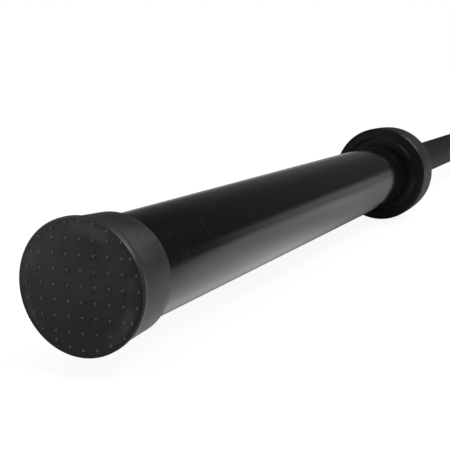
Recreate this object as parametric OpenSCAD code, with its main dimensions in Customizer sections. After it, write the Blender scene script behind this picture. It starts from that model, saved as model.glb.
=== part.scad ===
// Olympic barbell: one long steel shaft with a sleeve that turns freely on each end.
// Sizes are millimetres. The bar lies along X with its middle at the origin, and +Z is up.
// Each sleeve runs on bronze bushings and needle bearings, and wears a push-on rubber end cap.

/* [Shaft] */
// Distance between the two faces that the plates rest against
stop_span = 1370; // [1330:5:1410]
// Diameter of the bar where it is gripped
grip_d = 30; // [29.5:0.5:31]
// Diameter of the turned journal inside each sleeve
journal_d = 28; // [27:0.5:28.5]

/* [Knurling] */
// Length of the knurled patch in the middle
centre_knurl = 120; // [80:5:160]
// Distance from the middle to the start of the knurling for each hand
knurl_start = 210; // [150:5:260]
// Smooth length between the knurling and each collar
knurl_margin = 30; // [10:5:60]
// Distance between the two smooth ring marks
mark_span = 910; // [810:10:910]
// Width of a ring mark
mark_w = 5; // [3:0.5:8]
// How far below the smooth bar the knurled bands are rolled
knurl_sink = 0.15; // [0.05:0.05:0.3]
// How far below the smooth bar a ring mark is cut
mark_sink = 0.4; // [0.3:0.05:0.6]

/* [Sleeve tube] */
// Outside diameter that the plates slide on
sleeve_d = 50; // [49.6:0.1:50.4]
// Length from the stop face to the end of the tube
sleeve_len = 430; // [380:5:460]
// Bore that the bushings and bearings are pressed into
bore_d = 37; // [36:0.5:38]
// Step from the sleeve down to the spigot that is pressed into the collar
spigot_step = 1; // [0.5:0.1:1.5]
// Step from the sleeve down to the seat of the rubber cap
seat_step = 0.3; // [0.2:0.05:0.6]
// Chamfer on the outer end of the tube
tube_chamfer = 1.5; // [0.5:0.25:2]

/* [Collar] */
// Outside diameter of the collar
collar_d = 78; // [74:0.5:84]
// Length from the stop face to the nose
collar_len = 50; // [46:0.5:60]
// Length of the straight land behind the rim
land_w = 11; // [8:0.5:16]
// Radius of the long crown from the land towards the nose
crown_r = 370; // [250:10:500]
// Radius that rounds the inner end of the collar
nose_round = 16; // [10:0.5:20]
// Diameter of the raised face that a plate rests against
boss_d = 62; // [58:0.5:66]
// Height of the raised face above the rim
boss_h = 2.4; // [1.5:0.1:3]
// Radius on the edge of the rim
rim_round = 2.5; // [1:0.1:3]

/* [Bearings] */
// Length of the inner bronze bushing
bush_in_len = 34; // [24:1:40]
// Length of the outer bronze bushing
bush_out_len = 30; // [20:1:40]
// Length of a needle bearing
needle_bearing_len = 20; // [16:1:26]
// Number of needles in a bearing
needle_count = 18; // [12:1:20]
// Thickness of a needle bearing's outer shell
shell_t = 2; // [1.5:0.1:2.2]
// Thickness of the cage between the needles
cage_t = 1.2; // [0.8:0.1:1.4]
// Wall of the tube between the two needle bearings
spacer_t = 1.4; // [1:0.1:2]
// Thickness of a thrust washer
washer_t = 2; // [1:0.25:3]
// Thickness of the snap rings
clip_t = 1.5; // [1:0.1:2]
// Free end play of a sleeve on the shaft
end_float = 0.2; // [0.1:0.05:0.5]
// Radial clearance of a bushing on its journal
bush_clear = 0.05; // [0.02:0.01:0.1]
// Radial clearance on each side of a needle
needle_clear = 0.02; // [0.01:0.01:0.05]

/* [End cover] */
// Thickness of the steel disc that closes the tube
cover_t = 3; // [2:0.5:5]
// Depth from the end of the tube to the snap ring
cover_inset = 6; // [4:0.5:10]

/* [Dust seal] */
// Width of the seal in the nose of the collar
seal_w = 4; // [2.5:0.5:5]
// Depth of the seal's groove beyond the bore of the nose
seal_depth = 3; // [2:0.25:4]

/* [Rubber end cap] */
// Length of the cap from its face to its mouth
cap_len = 27; // [22:0.5:40]
// Thickness of the rubber over the end of the tube
cap_face_t = 5; // [3:0.5:8]
// Diameter of the lip round the face
cap_lip_d = 59; // [58:0.5:64]
// Length of the lip
cap_lip_w = 3; // [2:0.1:5]
// Diameter just behind the lip
cap_waist_d = 57.2; // [55:0.2:57.6]
// Diameter at the mouth
cap_mouth_d = 55; // [53.6:0.2:55.6]
// Radius that rounds the edge of the face
cap_round = 0.7; // [0.4:0.1:1.5]
// Radial clearance of the cap on its seat
cap_clear = 0.1; // [0.02:0.02:0.1]
// Distance between neighbouring pips on the face
pip_pitch = 6.5; // [6:0.05:6.6]
// Diameter of the circle that the outer rows of pips follow
pip_ring_d = 53.4; // [52:0.2:54]
// Diameter of a pip
pip_d = 1.3; // [0.8:0.1:1.8]
// Height of a pip
pip_h = 0.5; // [0.2:0.1:0.8]

/* [Hidden] */
SIDES = ["left", "right"];
SIDE_PARTS = [
    "sleeve_tube", "collar", "dust_seal",
    "inner_thrust_washer", "inner_bushing",
    "inner_bearing_shell", "inner_bearing_cage", "inner_needles",
    "spacer_tube",
    "outer_bearing_shell", "outer_bearing_cage", "outer_needles",
    "outer_bushing", "outer_thrust_washer",
    "shaft_snap_ring", "end_cover", "cover_snap_ring", "rubber_end_cap"
];

$fn = 96;
eps = 1;

// Radii from the axis of the bar
grip_r = grip_d / 2;
journal_r = journal_d / 2;
sleeve_r = sleeve_d / 2;
bore_r = bore_d / 2;
spigot_r = sleeve_r - spigot_step;
seat_r = sleeve_r - seat_step;
collar_r = collar_d / 2;
boss_r = boss_d / 2;
// The edge of the raised face is rounded over nearly its whole height
boss_foot = 0.2;
boss_round = boss_h - boss_foot;
bore_relief = 0.3;
nose_bore_r = grip_r + 0.5;
nose_chamfer = 1;
seal_r = nose_bore_r + seal_depth;
bush_groove_depth = 0.5;
bush_groove_w = 2;

// A needle rolls between the journal and the race, with its cage half way between them
race_r = bore_r - shell_t;
pitch_r = (race_r + journal_r) / 2;
needle_r = (race_r - journal_r) / 2 - needle_clear;
cage_in_r = pitch_r - cage_t / 2;
cage_out_r = pitch_r + cage_t / 2;
shell_lip_t = 1;
shell_lip_r = journal_r + 0.5;
cage_gap = 0.3;
cage_rim = 1.4;
window_gap = 0.1;
cage_len = needle_bearing_len - 2 * (shell_lip_t + cage_gap);
window_len = cage_len - 2 * cage_rim;
needle_len = window_len - 2 * window_gap;

// The outer end of the tube is bored in two steps: one for the washer, one for the cover
loose_fit = 0.1;
washer_bore_r = bore_r + 2.3;
cover_bore_r = washer_bore_r + 0.7;
clip_groove_w = clip_t + 0.1;
cover_groove_r = cover_bore_r + 1.1;
shaft_groove_r = journal_r - 0.7;
shaft_tip = 4;
shaft_chamfer = 1;
end_gap = 5;

// Snap rings
clip_open = 34;
clip_band = 3.4;
lug_r = 2.2;
lug_hole_r = 1.1;

// Places along the bar, measured outwards from its middle
stop_x = stop_span / 2;
nose_x = stop_x - collar_len;
nose_lip = 2;
web_t = 4;
seal_gap = 0.1;
seal_x = nose_x + nose_lip;
seal_end_x = seal_x + seal_w + seal_gap;
spigot_x = seal_end_x + web_t;
shoulder_x = spigot_x + 2;
inner_washer_x = shoulder_x + end_float;
inner_bush_x = inner_washer_x + washer_t;
inner_bearing_x = inner_bush_x + bush_in_len;
inner_bearing_end_x = inner_bearing_x + needle_bearing_len;
tube_end_x = stop_x + sleeve_len;
cover_clip_x = tube_end_x - cover_inset - clip_t;
cover_x = cover_clip_x - cover_t;
shaft_end_x = cover_x - end_gap;
shaft_groove_x = shaft_end_x - shaft_tip - clip_groove_w;
outer_washer_x = shaft_groove_x - end_float - washer_t;
outer_bush_x = outer_washer_x - bush_out_len;
outer_bearing_x = outer_bush_x - needle_bearing_len;

// Rubber cap: its face is the outermost plane of the bar, apart from the pips
cap_face_x = tube_end_x + cap_face_t;
cap_mouth_x = cap_face_x - cap_len;
cap_gap = 0.3;
seat_x = cap_mouth_x - cap_gap;
cap_in_r = seat_r + cap_clear;
cap_floor_x = tube_end_x + 0.2;
cap_mouth_round = 0.8;
cap_waist_len = 2.4;
cap_flat_r = cap_lip_d / 2 - cap_round;
pip_ring_r = pip_ring_d / 2;
// The pattern of pips is moulded a little above the middle of the face and to one side
pip_middle = [-0.7, -1.3];
pip_rows = 3;
pip_side_rows = 2;

// The crown meets the land and the nose radius without a kink
crown_angle = asin((collar_len - boss_h - land_w - nose_round) / (crown_r - nose_round));
nose_flat_r = collar_r - crown_r * (1 - cos(crown_angle)) - nose_round * cos(crown_angle);

// Points of an arc in a section, as [radius, place along the bar]
function arc(centre, r, from, to, steps) =
    [for (i = [0:steps]) let (a = from + (to - from) * i / steps)
        [centre[0] + r * cos(a), centre[1] + r * sin(a)]];

// Puts a piece that is drawn round +Z onto one end of the bar
module on_side(side) {
    mirror([side == "left" ? 1 : 0, 0, 0]) rotate([0, 90, 0]) children();
}

// A ring between two radii and two places along the bar
module band(r_out, r_in, from, to) {
    rotate_extrude() translate([r_in, from]) square([r_out - r_in, to - from]);
}

// A solid disc with a chamfer on the edge of its outer end
module plug(r, from, to, chamfer) {
    rotate_extrude() polygon([[0, from], [r, from], [r, to - chamfer], [r - chamfer, to], [0, to]]);
}

// Shaft: grip with its knurled bands and ring marks, and a journal at each end
module shaft_half() {
    knurl_end_x = nose_x - knurl_margin;
    difference() {
        union() {
            cylinder(r = grip_r, h = shoulder_x);
            plug(journal_r, shoulder_x - eps, shaft_end_x, shaft_chamfer);
        }
        band(grip_r + eps, grip_r - knurl_sink, -eps, centre_knurl / 2);
        band(grip_r + eps, grip_r - knurl_sink, knurl_start, knurl_end_x);
        band(grip_r + eps, grip_r - mark_sink, (mark_span - mark_w) / 2, (mark_span + mark_w) / 2);
        band(journal_r + eps, shaft_groove_r, shaft_groove_x, shaft_groove_x + clip_groove_w);
    }
}

module shaft() {
    color("#232325") for (side = SIDES) on_side(side) shaft_half();
}

// Sleeve tube: spigot in the collar, plate surface, cap seat and stepped bore
module sleeve_tube() {
    color("#151517") rotate_extrude() polygon([
        [bore_r, spigot_x], [spigot_r, spigot_x],
        [spigot_r, stop_x], [sleeve_r, stop_x],
        [sleeve_r, seat_x], [seat_r, seat_x],
        [seat_r, tube_end_x - tube_chamfer], [seat_r - tube_chamfer, tube_end_x],
        [cover_bore_r, tube_end_x], [cover_bore_r, cover_clip_x + clip_groove_w],
        [cover_groove_r, cover_clip_x + clip_groove_w], [cover_groove_r, cover_clip_x],
        [cover_bore_r, cover_clip_x], [cover_bore_r, cover_x],
        [washer_bore_r, cover_x], [washer_bore_r, outer_washer_x],
        [bore_r, outer_washer_x]
    ]);
}

// Collar: boss for the plates, rim, land, crown and nose, with the seal's groove inside.
// A small chamfer relieves the mouth of its bore, so a plate lies flat on the boss.
module collar() {
    rim_x = stop_x - boss_h;
    land_end_x = rim_x - land_w;
    crown_c = [collar_r - crown_r, land_end_x];
    nose_c = [nose_flat_r, nose_x + nose_round];
    color("#1b1b1d") rotate_extrude() polygon(concat(
        [[spigot_r, stop_x - spigot_step - bore_relief], [sleeve_r + bore_relief, stop_x]],
        arc([boss_r - boss_round, stop_x - boss_round], boss_round, 90, 0, 5),
        [[boss_r, rim_x]],
        arc([collar_r - rim_round, rim_x - rim_round], rim_round, 90, 0, 5),
        arc(crown_c, crown_r, 0, -crown_angle, 4),
        arc(nose_c, nose_round, -crown_angle - 6, -90, 12),
        [[nose_bore_r + nose_chamfer, nose_x], [nose_bore_r, nose_x + nose_chamfer]],
        [[nose_bore_r, seal_x], [seal_r, seal_x]],
        [[seal_r, seal_end_x], [nose_bore_r, seal_end_x]],
        [[nose_bore_r, spigot_x], [spigot_r, spigot_x]]
    ));
}

// Rubber ring that keeps dust out of the bearings
module dust_seal() {
    lip = grip_r + bush_clear;
    color("#26241f") rotate_extrude() polygon([
        [seal_r, seal_x], [seal_r, seal_x + seal_w],
        [lip + 1, seal_x + seal_w], [lip, seal_x + seal_w * 0.7],
        [lip, seal_x + seal_w * 0.3], [lip + 1, seal_x]
    ]);
}

// Bronze bushing with two oil grooves in its bore
module bushing(from, length) {
    color("#b08545") difference() {
        band(bore_r, journal_r + bush_clear, from, from + length);
        for (place = [1, 2]) {
            groove_x = from + length * place / 3 - bush_groove_w / 2;
            band(journal_r + bush_clear + bush_groove_depth, journal_r - eps, groove_x, groove_x + bush_groove_w);
        }
    }
}

// Outer ring of a needle bearing, with a lip at each end that holds the cage in
module bearing_shell(from) {
    to = from + needle_bearing_len;
    color("#a9abad") rotate_extrude() polygon([
        [bore_r, from], [bore_r, to],
        [shell_lip_r, to], [shell_lip_r, to - shell_lip_t],
        [race_r, to - shell_lip_t], [race_r, from + shell_lip_t],
        [shell_lip_r, from + shell_lip_t], [shell_lip_r, from]
    ]);
}

// Cage with one window for each needle
module bearing_cage(from) {
    start = from + shell_lip_t + cage_gap;
    color("#8d8f91") difference() {
        band(cage_out_r, cage_in_r, start, start + cage_len);
        for (i = [0:needle_count - 1]) rotate([0, 0, i * 360 / needle_count])
            translate([pitch_r - cage_t, -needle_r - window_gap, start + cage_rim])
                cube([2 * cage_t, 2 * (needle_r + window_gap), window_len]);
    }
}

// Needles of one bearing, each a separate roller in its window
module needles(from) {
    start = from + shell_lip_t + cage_gap + cage_rim + window_gap;
    color("#d0d2d4") for (i = [0:needle_count - 1]) rotate([0, 0, i * 360 / needle_count])
        translate([pitch_r, 0, start]) cylinder(r = needle_r, h = needle_len, $fn = 24);
}

// Tube that keeps the two needle bearings apart
module spacer_tube() {
    color("#77797b") band(bore_r - loose_fit, bore_r - loose_fit - spacer_t, inner_bearing_end_x, outer_bearing_x);
}

module thrust_washer(r_out, from) {
    color("#c0c2c4") band(r_out, journal_r + loose_fit, from, from + washer_t);
}

// Open spring ring between two radii, with a drilled lug at each end of its gap
module snap_ring(r_in, r_out, lug_place_r, from) {
    color("#303134") difference() {
        union() {
            rotate([0, 0, clip_open / 2]) rotate_extrude(angle = 360 - clip_open)
                translate([r_in, from]) square([r_out - r_in, clip_t]);
            for (turn = [-1, 1]) rotate([0, 0, turn * clip_open / 2])
                translate([lug_place_r, 0, from]) cylinder(r = lug_r, h = clip_t);
        }
        for (turn = [-1, 1]) rotate([0, 0, turn * clip_open / 2])
            translate([lug_place_r, 0, from - eps]) cylinder(r = lug_hole_r, h = clip_t + 2 * eps);
    }
}

// Steel disc on a ledge in the end of the tube
module end_cover() {
    color("#3a3b3d") plug(cover_bore_r - loose_fit, cover_x, cover_x + cover_t, 0.4);
}

// Places of the pips on the face: a square grid, and a short bowed row outside each side of it
function pip_places() = concat(
    [for (i = [-pip_rows:pip_rows], j = [-pip_rows:pip_rows]) [i, j] * pip_pitch],
    [for (turn = [0:3], i = [-pip_side_rows:pip_side_rows])
        let (out = sqrt(pow(pip_ring_r, 2) - pow(i * pip_pitch, 2)), across = i * pip_pitch)
            [out * cos(90 * turn) - across * sin(90 * turn), out * sin(90 * turn) + across * cos(90 * turn)]]
);

// Rubber cap pushed over the end of the sleeve
module rubber_end_cap() {
    lip_r = cap_lip_d / 2;
    color("#2b2b2d") union() {
        rotate_extrude() polygon(concat(
            [[0, cap_face_x]],
            arc([cap_flat_r, cap_face_x - cap_round], cap_round, 90, 0, 5),
            [[lip_r, cap_face_x - cap_lip_w]],
            [[cap_waist_d / 2, cap_face_x - cap_lip_w - cap_waist_len]],
            [[cap_mouth_d / 2, cap_mouth_x + cap_mouth_round]],
            [[cap_mouth_d / 2 - cap_mouth_round, cap_mouth_x]],
            [[cap_in_r, cap_mouth_x], [cap_in_r, cap_floor_x], [0, cap_floor_x]]
        ));
        translate(pip_middle) for (place = pip_places()) translate([place[0], place[1], cap_face_x - eps / 2])
            cylinder(d1 = pip_d, d2 = pip_d * 0.6, h = pip_h + eps / 2, $fn = 16);
    }
}

shaft();
for (side = SIDES) {
    on_side(side) sleeve_tube();
    on_side(side) collar();
    on_side(side) dust_seal();
    on_side(side) thrust_washer(bore_r - loose_fit, inner_washer_x);
    on_side(side) bushing(inner_bush_x, bush_in_len);
    on_side(side) bearing_shell(inner_bearing_x);
    on_side(side) bearing_cage(inner_bearing_x);
    on_side(side) needles(inner_bearing_x);
    on_side(side) spacer_tube();
    on_side(side) bearing_shell(outer_bearing_x);
    on_side(side) bearing_cage(outer_bearing_x);
    on_side(side) needles(outer_bearing_x);
    on_side(side) bushing(outer_bush_x, bush_out_len);
    on_side(side) thrust_washer(washer_bore_r - loose_fit, outer_washer_x);
    on_side(side) snap_ring(shaft_groove_r, journal_r + clip_band - 0.6, journal_r + 2, shaft_groove_x);
    on_side(side) end_cover();
    on_side(side) snap_ring(cover_groove_r - clip_band, cover_groove_r, cover_groove_r - 4, cover_clip_x);
    on_side(side) rubber_end_cap();
}
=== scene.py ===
# %% [markdown]
# # An olympic barbell: giving a finished construction its looks
# The bar is already built as real pieces: a long steel shaft, and on each end a sleeve on
# bushings and needle bearings, a collar, and a rubber cap. Here nothing moves and nothing changes
# size. What is added is what the eye wants: coatings, turned edges, moulded rubber, rolled knurling.

# %% Load the frame
import math

import bpy
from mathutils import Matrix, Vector


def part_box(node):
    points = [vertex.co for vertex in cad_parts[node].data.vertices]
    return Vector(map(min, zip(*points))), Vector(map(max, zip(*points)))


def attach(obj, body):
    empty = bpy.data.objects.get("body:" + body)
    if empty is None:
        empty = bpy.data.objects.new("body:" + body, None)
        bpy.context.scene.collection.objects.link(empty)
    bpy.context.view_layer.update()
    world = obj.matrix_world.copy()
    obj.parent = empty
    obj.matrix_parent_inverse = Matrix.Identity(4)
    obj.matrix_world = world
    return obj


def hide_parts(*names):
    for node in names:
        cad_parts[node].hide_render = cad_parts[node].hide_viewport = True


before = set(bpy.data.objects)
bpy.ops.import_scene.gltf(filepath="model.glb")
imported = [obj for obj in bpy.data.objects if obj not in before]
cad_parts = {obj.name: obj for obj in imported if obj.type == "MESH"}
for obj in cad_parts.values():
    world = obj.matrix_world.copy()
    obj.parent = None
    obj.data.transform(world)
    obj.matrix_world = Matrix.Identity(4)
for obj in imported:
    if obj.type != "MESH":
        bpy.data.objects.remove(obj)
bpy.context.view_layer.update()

# %% [markdown]
# ## Measure before making
# A piece that stands for a construction solid has to be exactly where that solid is. So the main
# places along the bar are read from the solids' own boxes. The left end is measured, because its
# mirror image is the right end. Places are distances from the middle of the bar. Small roundings
# and walls that a box can't show are listed in millimetres.

# %% Places and radii
MM = 0.001
SIDES = {"left": -1, "right": 1}
CAP_FACE_T = 5 * MM


def radius_of(node):
    """Largest distance of a turned piece from the bar's axis."""
    low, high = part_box(node)
    return max(-low.y, high.y, -low.z, high.z)


def outer_x(node):
    """Where a piece of the left end ends towards the cap."""
    return -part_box(node)[0].x


def inner_x(node):
    """Where a piece of the left end ends towards the grip."""
    return -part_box(node)[1].x


sleeve_r = radius_of("sleeve_tube_left")
tube_end_x = outer_x("sleeve_tube_left")
spigot_x = inner_x("sleeve_tube_left")
collar_r = radius_of("collar_left")
stop_x = outer_x("collar_left")
nose_x = inner_x("collar_left")
cap_lip_r = radius_of("rubber_end_cap_left")
cap_mouth_x = inner_x("rubber_end_cap_left")
cap_face_x = tube_end_x + CAP_FACE_T
grip_r = radius_of("shaft")
floor_z = -collar_r
print("sleeve %.1f mm across, stop faces %.0f mm apart" % (2000 * sleeve_r, 2000 * stop_x))

# %% [markdown]
# ## The camera
# The photograph looks along the bar from just beyond one end, a little from the side and from
# above. Its place was found by fitting a camera to the outlines of the cap, the sleeve and the
# collar. The frame is square, and the picture was cropped off centre, which is what the shift is.
# The two angles are in radians.

# %% Camera
FRAME_PX = 450
FOCAL_PX = 891.5
CENTRE_PX = 300
CAMERA_FROM_CAP = Vector((-0.2948, -0.2087, 0.0857))
CAMERA_YAW = 0.3663
CAMERA_PITCH = -0.1693
SENSOR_MM = 36
NEAREST_SEEN = 10 * MM


def add_object(name, data):
    """Puts an object that holds this data into the scene."""
    made = bpy.data.objects.new(name, data)
    bpy.context.scene.collection.objects.link(made)
    return made


cap_middle = Vector((-cap_face_x, 0, 0))
looking = Vector((
    math.cos(CAMERA_PITCH) * math.cos(CAMERA_YAW),
    math.cos(CAMERA_PITCH) * math.sin(CAMERA_YAW),
    math.sin(CAMERA_PITCH),
))
camera = add_object("camera", bpy.data.cameras.new("camera"))
camera.location = cap_middle + CAMERA_FROM_CAP
camera.rotation_euler = looking.to_track_quat("-Z", "Y").to_euler()
camera.data.sensor_width = SENSOR_MM
camera.data.lens = FOCAL_PX / FRAME_PX * SENSOR_MM
camera.data.shift_x = (FRAME_PX / 2 - CENTRE_PX) / FRAME_PX
camera.data.clip_start = NEAREST_SEEN
bpy.context.scene.camera = camera
print("camera: %.1f mm lens, %.0f mm from the cap" % (camera.data.lens, 1000 * CAMERA_FROM_CAP.length))

# %% [markdown]
# ## Node trees as Python expressions
# Shaders, the world and Geometry Nodes are all node trees. Two small classes make them readable:
# a Tree adds any node from its type, its settings and the values of its sockets, and a Signal is
# one output, on which + - * / work. Numbers go to Math nodes, vectors to Vector Math, colours to
# Mix, because a Math node would turn a colour grey.

# %% Tree and Signal
class Signal:
    """One output of a node, used in an expression."""

    def __init__(self, socket):
        self.socket = socket

    def combine(self, operation, *values):
        tree = Tree(self.socket.id_data)
        if self.socket.type == "RGBA":
            settings = {"data_type": "RGBA", "blend_type": operation}
            sockets = {"Factor_Float": 1.0, "A_Color": values[0], "B_Color": values[1]}
            return tree.node("ShaderNodeMix", settings, sockets, "Result_Color")
        kind = "ShaderNodeVectorMath" if self.socket.type == "VECTOR" else "ShaderNodeMath"
        return tree.node(kind, {"operation": operation}, dict(enumerate(values)))

    def apply(self, operation, *others):
        """An operation that has no sign of its own, with this signal as its first value."""
        return self.combine(operation, self, *others)

    def __add__(self, other):
        return self.combine("ADD", self, other)

    def __radd__(self, other):
        return self.combine("ADD", other, self)

    def __sub__(self, other):
        return self.combine("SUBTRACT", self, other)

    def __rsub__(self, other):
        return self.combine("SUBTRACT", other, self)

    def __mul__(self, other):
        return self.combine("MULTIPLY", self, other)

    def __rmul__(self, other):
        return self.combine("MULTIPLY", other, self)

    def __truediv__(self, other):
        return self.combine("DIVIDE", self, other)

    def __rtruediv__(self, other):
        return self.combine("DIVIDE", other, self)

    def __pow__(self, power):
        return self.combine("POWER", self, power)


class Tree:
    """A node tree of any kind."""

    def __init__(self, tree):
        self.tree = tree

    def node(self, kind, settings=None, sockets=None, output=0):
        """Adds a node, sets it up, feeds its sockets and returns one output as a Signal."""
        made = self.tree.nodes.new(kind)
        for name, value in (settings or {}).items():
            setattr(made, name, value)
        for name, value in (sockets or {}).items():
            self.feed(made, name, value)
        if output is None:
            return made
        return Signal(self.pick(made.outputs, output))

    def pick(self, sockets, name):
        if isinstance(name, int):
            return sockets[name]
        return next(socket for socket in sockets if name in (socket.identifier, socket.name))

    def feed(self, node, name, value):
        socket = self.pick(node.inputs, name)
        for item in value if isinstance(value, list) else [value]:
            if isinstance(item, Signal):
                self.tree.links.new(item.socket, socket)
            else:
                socket.default_value = item

    def split(self, vector):
        """The three numbers of a vector."""
        parts = self.node("ShaderNodeSeparateXYZ", None, {0: vector}, None)
        return [Signal(parts.outputs[axis]) for axis in "XYZ"]

    def blend(self, factor, colour_a, colour_b):
        """A colour between two, by a factor from 0 to 1."""
        sockets = {"Factor_Float": factor, "A_Color": colour_a, "B_Color": colour_b}
        return self.node("ShaderNodeMix", {"data_type": "RGBA"}, sockets, "Result_Color")

    def fade(self, value, low, high, at_low=0.0, at_high=1.0):
        """A smooth step from one value to another as the signal goes from low to high."""
        settings = {"interpolation_type": "SMOOTHSTEP", "clamp": True}
        sockets = {"Value": value, 1: low, 2: high, 3: at_low, 4: at_high}
        return self.node("ShaderNodeMapRange", settings, sockets)


def grey(value):
    return (value, value, value, 1.0)


print("node trees are written with Tree and Signal")

# %% [markdown]
# ## Studio
# The picture has a white ground with a dark room above it: the sleeve's lower half mirrors the
# white, its upper half mirrors the dark. White that the camera sees is a colour of the floor and
# the backdrop, not extra light on the bar. A Light Path node tells who asks: the camera, a ray that
# gloss sends on, or plain light. Gloss sees a band of glow along the horizon, weaker straight ahead
# than to the right, which soon fades into the dark of the room. The far wall and the side to the
# left of the picture are a little lighter, as the sleeve's upper half shows. Directions are unit
# vectors, and a strength of 1 is white.

# %% World
SKY_SOFT = 0.35
NEAR_DARK, FAR_DARK = 0.045, 0.08
WALL_FROM, WALL_TO = 0.85, 0.94
HORIZON_GLOW = 0.3
GLOW_FROM_DEG, GLOW_TO_DEG = 3, 9.5
AHEAD_FROM, AHEAD_TO, AHEAD_SHARE = -0.305, -0.27, 0.6
SHEET_SLOPE = 0.5
SHEET_BLUR = 0.06
ON_SHEET, PAST_SHEET = 1.2, 0.1
SIDE_GLOW = 0.09
SIDE_FROM_DEG, SIDE_TO_DEG = 5, 35
SIDE_FROM, SIDE_TO = -0.05, 0.25


def ray_kinds(tree):
    """Two masks: rays from the camera, and rays that gloss or glass sends on."""
    rays = tree.node("ShaderNodeLightPath", output=None)
    mirrored = Signal(rays.outputs["Is Glossy Ray"]) + Signal(rays.outputs["Is Transmission Ray"])
    return Signal(rays.outputs["Is Camera Ray"]), mirrored


def rise(degrees):
    """How far up a unit vector reaches that rises by this angle."""
    return math.sin(math.radians(degrees))


world = bpy.data.worlds.new("studio")
bpy.context.scene.world = world
world.use_nodes = True
sky = Tree(world.node_tree)
seen, mirrored = ray_kinds(sky)
ahead, left, up = sky.split(sky.node("ShaderNodeTexCoord", output="Generated"))
room = sky.fade(ahead, WALL_FROM, WALL_TO, NEAR_DARK, FAR_DARK)
horizon = sky.fade(up, rise(GLOW_FROM_DEG), rise(GLOW_TO_DEG), HORIZON_GLOW, 0)
past_edge = -1 * left - SHEET_SLOPE * ahead
by_sheet = sky.fade(past_edge, -SHEET_BLUR, SHEET_BLUR, ON_SHEET, PAST_SHEET)
weaker_ahead = sky.fade(left, AHEAD_FROM, AHEAD_TO, 1, AHEAD_SHARE)
side_glow = sky.fade(up, rise(SIDE_FROM_DEG), rise(SIDE_TO_DEG), SIDE_GLOW, 0)
side_glow = side_glow * sky.fade(left, SIDE_FROM, SIDE_TO)
mirror_level = room + horizon * by_sheet * weaker_ahead + side_glow
level = SKY_SOFT + mirrored * (mirror_level - SKY_SOFT) + seen * (1 - SKY_SOFT)
background = world.node_tree.nodes["Background"]
background.inputs["Color"].default_value = grey(1)
sky.feed(background, "Strength", level)
print("world: soft level %.2f, dark to gloss above %.1f degrees" % (SKY_SOFT, GLOW_TO_DEG))

# %% [markdown]
# ### Floor
# The floor is pale and lies just under the collars, on which the bar would rest. One large square
# is enough: a soft shadow and a mirror image need no thickness. It is there for the picture only.

# %% Floor
FLOOR_HALF = 60.0

corners = [(FLOOR_HALF * x, FLOOR_HALF * y, floor_z) for x, y in ((-1, -1), (1, -1), (1, 1), (-1, 1))]
floor_mesh = bpy.data.meshes.new("floor")
floor_mesh.from_pydata(corners, [], [(0, 1, 2, 3)])
floor = add_object("floor", floor_mesh)

floor_material = bpy.data.materials.new("pale_sheet")
floor_material.use_nodes = True
floor_material.node_tree.nodes.clear()
floor_mesh.materials.append(floor_material)
sheet = Tree(floor_material.node_tree)
print("floor at z = %.1f mm" % (1000 * floor_z))

# %% [markdown]
# The mirror image on the sleeve asks for more than an even white. There the floor carries a painted
# pool of light, brightest beside the bar and falling off with the distance from it. It carries painted
# shade from the collar and a painted shadow under and behind the bar, and to the right the pale sheet
# ends at a slanting edge. Painting this by hand as a picture would do, but each of these is one smooth
# step over the place on the floor, and they are multiplied.

# %% The floor as gloss mirrors it
# Levels of the painted pool of light, the painted shadow of the bar and the painted shade of the collar
IMAGE_NEAR, IMAGE_FAR, IMAGE_LIT = 0.71, 0.09, 0.3
POOL_REACH = 180 * MM
SHADOW_FROM, SHADOW_TO, SHADOW_SHARE = -22 * MM, 12 * MM, 0.1
SHADE_FROM, SHADE_TO, SHADE_WIDTH = 170 * MM, 380 * MM, 170 * MM
COLLAR_SHADE = 0.75
ROOT_SLOPE = 2.4
ROOT_FROM, ROOT_TO = 270 * MM, 380 * MM
ROOT_SHADE = 0.5
EDGE_FROM, EDGE_TO = -25 * MM, 80 * MM
BEYOND_EDGE = 0.25

along, across = sheet.split(sheet.node("ShaderNodeTexCoord", output="Object"))[:2]
from_cap = along + cap_face_x
from_bar = across.apply("ABSOLUTE")
# painted pool of light: the mirrored floor is brightest beside the bar
painted_light_pool = IMAGE_FAR + IMAGE_NEAR / (1 + from_bar / POOL_REACH)
# painted shadow of the bar on the floor behind it
painted_bar_shadow = sheet.fade(across, SHADOW_FROM, SHADOW_TO, 1, SHADOW_SHARE)
# painted shade from the collar
painted_collar_shade = sheet.fade(from_cap, SHADE_FROM, SHADE_TO) * sheet.fade(from_bar, 0, SHADE_WIDTH, 1, 0)
# painted shade round the collar's root, reaching further out along the mirrored rays
painted_root_shade = sheet.fade(from_cap + ROOT_SLOPE * across, ROOT_FROM, ROOT_TO)
shade = (1 - COLLAR_SHADE * painted_collar_shade) * (1 - ROOT_SHADE * painted_root_shade)
past_edge = -1 * across - SHEET_SLOPE * from_cap
on_sheet = sheet.fade(past_edge, EDGE_FROM, EDGE_TO, 1, BEYOND_EDGE)
image_level = painted_light_pool * painted_bar_shadow * shade * on_sheet
image_colour = sheet.blend(on_sheet * IMAGE_LIT, grey(0), grey(1))
print("mirrored floor: %.2f beside the bar, %.2f far off" % (IMAGE_NEAR + IMAGE_FAR, IMAGE_FAR))

# %% [markdown]
# So the floor has three faces, and the kind of ray chooses among them. Most of what the camera sees
# is the floor's own white and the rest is lit, so a soft shadow stays. Gloss gets the mirror image
# from above. Plain light finds an ordinary pale sheet that bounces it.

# %% The floor's three faces
FLOOR_OWN_WHITE = 0.9
FLOOR_LIT = 0.15
FLOOR_BOUNCE = 0.8


def diffuse(colour):
    return sheet.node("ShaderNodeBsdfDiffuse", None, {"Color": colour})


def glowing(colour, own_light):
    """A lit surface that also has its own light."""
    glow = sheet.node("ShaderNodeEmission", None, {"Color": grey(1), "Strength": own_light})
    return sheet.node("ShaderNodeAddShader", None, {0: diffuse(colour), 1: glow})


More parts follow.
